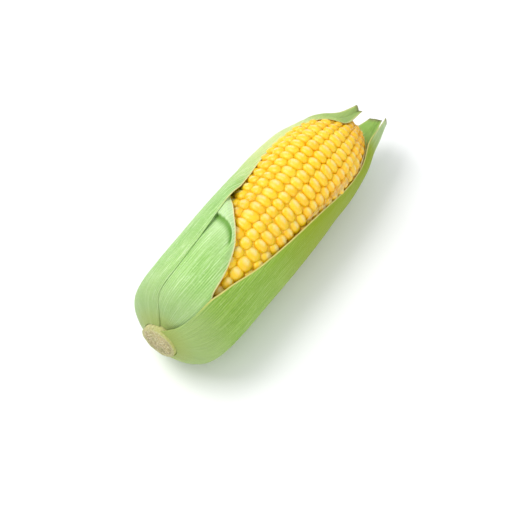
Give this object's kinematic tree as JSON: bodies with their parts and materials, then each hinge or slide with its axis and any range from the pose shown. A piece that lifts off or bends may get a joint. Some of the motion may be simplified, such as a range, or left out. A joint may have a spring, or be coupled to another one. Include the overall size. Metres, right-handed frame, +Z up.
{
  "type": "corn cob",
  "caption": "Ear of sweet corn in its partly opened green husk, cut at the shank and laid on its side.",
  "frame": {"origin": "middle of the small flat under the husk, on the surface that the ear lies on", "axes": "+X along the ear from the cut shank to the tip, +Z up, the husk's opening up and towards -Y"},
  "size_m": [0.1741, 0.0538, 0.0528],
  "materials": {
    "kernels": "glossy waxy skin over juicy yellow flesh",
    "stalk": "freshly cut speckled pith in a yellow-green rind",
    "husk_green": "satin leaf with fine lengthwise veins",
    "husk_pale": "satin pale leaf with fine lengthwise veins",
    "husk_inner": "satin inner leaf with fine lengthwise veins"
  },
  "bodies": {
    "root": {"kernel_cob": "kernels", "shank": "stalk", "leaf_right": "husk_green", "leaf_left": "husk_pale", "leaf_front": "husk_pale", "leaf_back": "husk_inner"}
  },
  "joints": []
}
